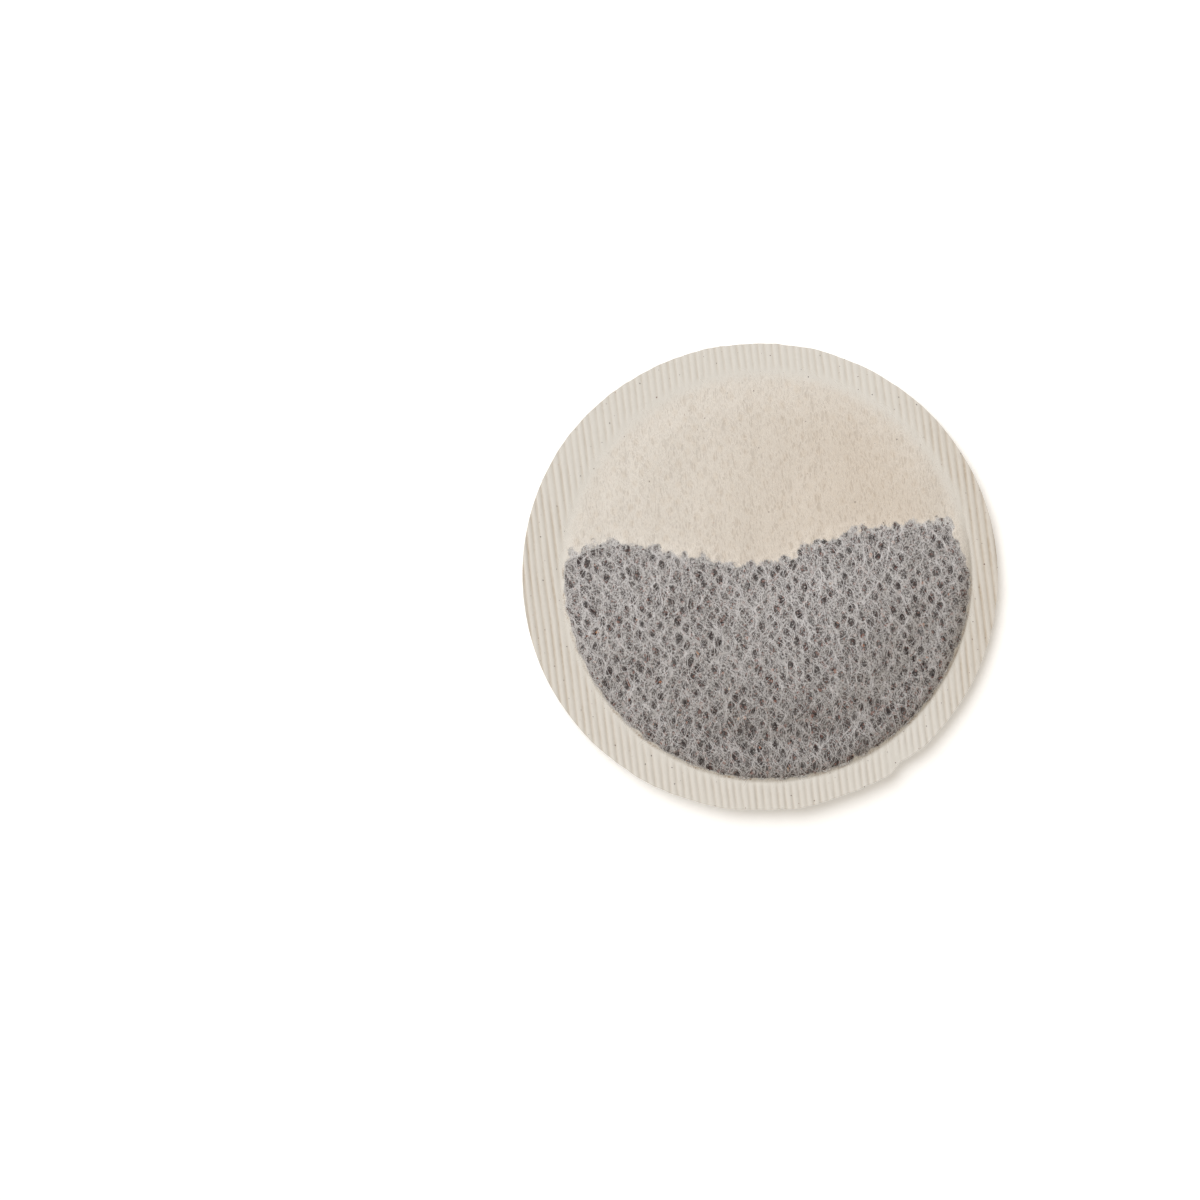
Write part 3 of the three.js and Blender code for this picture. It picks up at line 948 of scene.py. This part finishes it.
def lay_fibres(name, ground, height, side, spots, seed, per_square_metre):
    """Fibres strewn over a sheet, pushed off its thin spots and laid on its outer face: side is 1 for a
    face that looks up and -1 for one that looks down."""
    where = points_of(ground)
    store(ground, "crowd", smooth(inside_seal(where[:, 0], where[:, 1]), -1.0, 0.3))
    store(ground, "room", np.ones(len(where)))
    strewn = strew(name, ground, Shapes=fibre_shapes, Material=fibre, Spacing=0.2 * MM, Smallest=0.8,
                   Largest=1.15, Seed=seed, **{"Per square metre": per_square_metre,
                                               "Least turn": (0, 0, -FIBRE_LEAN),
                                               "Most turn": (0, 0, FIBRE_LEAN)})
    fibres = points_of(strewn).reshape(-1, FIBRE_POINTS, 3)
    bpy.data.objects.remove(strewn)
    fibres = fibres[inside_seal(fibres[:, :, 0], fibres[:, :, 1]).min(axis=1) > -FIBRE_PAST_SEAL]
    rng = np.random.default_rng(seed)
    yields = rng.uniform(0, 1, (len(fibres), 1)) < FIBRE_YIELDS
    lift = rng.uniform(*FIBRE_LIFT, (len(fibres), 1))
    x, y = push_off_spots(fibres, spots, yields)
    points = np.stack([x, y, height(x, y) + side * lift], -1).reshape(-1, 3)
    faces = []
    for first in range(0, len(points), FIBRE_POINTS):
        for k in range(first, first + 2 * FIBRE_STEPS, 2):
            quad = (k, k + 1, k + 3, k + 2)
            faces.append(quad if side > 0 else quad[::-1])
    laid = make_object(name, points, faces, fibre)
    laid.visible_shadow = False  # light passes through so thin a fibre
    store(laid, "over_tea", tea_shows(points[:, 0], points[:, 1]))
    return laid


def strew_dust(ground):
    """Specks of tea on the paper, most of them on the rim."""
    where = points_of(ground)
    store(ground, "crowd", 1 - 0.75 * smooth(inside_seal(where[:, 0], where[:, 1]), -0.5, 1))
    return strew("tea_dust", ground, Shapes=grain_shapes, Material=tea, Spacing=0.8 * MM,
                 Smallest=0.04 * MM, Largest=0.11 * MM, Seed=21, **{"Per square metre": 2.0e5}, **TUMBLED)


upper_sheet = make_upper_sheet(paper)
lower_sheet = make_lower_sheet(paper)
tea_bed = make_bed("tea_bed", margin=0.4, beyond=-0.7, gap=0.62, material=tea)
store(tea_bed, "leaf_tone", np.full(len(tea_bed.data.vertices), 0.2))
tea_grains = strew_tea("tea_grains", 0.42, 0.52, 0.24, 0.46, 1, 7)
tea_fines = strew_tea("tea_fines", 0.14, 0.32, 0.09, 0.18, 0.35, 8)

upper_ground = ground_like(upper_sheet)
upper_fibres = lay_fibres("upper_fibres", upper_ground, upper_top, 1, upper_spots, 41, 2.8e6)
tea_dust = strew_dust(upper_ground)
lower_ground = ground_like(lower_sheet)
lower_fibres = lay_fibres("lower_fibres", lower_ground, lower_underside, -1, lower_spots, 42, 2.2e6)
for helper in [upper_ground, lower_ground, *grain_shapes.objects, *fibre_shapes.objects]:
    bpy.data.objects.remove(helper)

for piece in (upper_sheet, lower_sheet, upper_fibres, lower_fibres, tea_bed, tea_grains, tea_fines, tea_dust):
    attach(piece, "root")
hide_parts("upper_paper")
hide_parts("lower_paper")
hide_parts("tea_fill")


# ---- Studio ----

def white_table(name):
    """Matt white board that glows a little, so that it stays plain white."""
    material, tree, shader = new_material(name, roughness=0.95, specular=0.1)
    shader.inputs["Base Color"].default_value = linear(TABLE_WHITE)
    shader.inputs["Emission Color"].default_value = linear(TABLE_GLOW[0])
    shader.inputs["Emission Strength"].default_value = TABLE_GLOW[1]
    return material


def lay_table():
    corners = ((-1, -1), (1, -1), (1, 1), (-1, 1))
    points = [(TABLE_HALF * x, TABLE_HALF * y, -TABLE_GAP) for x, y in corners]
    return make_object("floor", points, [(0, 1, 2, 3)], white_table("white_board"))


def light_room():
    """One big softbox at the upper left, and a bright warm room."""
    softbox = bpy.data.lights.new("key_softbox", "SUN")
    softbox.color = linear(SOFTBOX[0])[:3]
    softbox.energy = SOFTBOX[1]
    softbox.angle = SOFTBOX_WIDTH
    lamp = bpy.data.objects.new("key_softbox", softbox)
    towards = Vector((math.cos(SOFTBOX_HEIGHT) * math.cos(SOFTBOX_SIDE),
                      math.cos(SOFTBOX_HEIGHT) * math.sin(SOFTBOX_SIDE), math.sin(SOFTBOX_HEIGHT)))
    lamp.rotation_euler = towards.to_track_quat("Z", "Y").to_euler()
    bpy.context.scene.collection.objects.link(lamp)
    world = bpy.data.worlds.new("studio")
    bpy.context.scene.world = world
    world.use_nodes = True
    background = world.node_tree.nodes["Background"]
    background.inputs["Color"].default_value = linear(ROOM[0])
    background.inputs["Strength"].default_value = ROOM[1]


def place_camera():
    camera_data = bpy.data.cameras.new("camera")
    camera_data.lens = LENS
    camera_data.sensor_width = SENSOR
    camera = bpy.data.objects.new("camera", camera_data)
    distance = VIEW_WIDTH * LENS / SENSOR
    camera.location = (CAMERA_AT[0] * MM, CAMERA_AT[1] * MM, (distance + RIM_LIFT) * MM)
    camera.rotation_euler = Euler((0, 0, DISC_TURN))
    bpy.context.scene.collection.objects.link(camera)
    bpy.context.scene.camera = camera


lay_table()
light_room()
place_camera()
bpy.context.scene.view_settings.view_transform = "Standard"

bpy.context.view_layer.update()
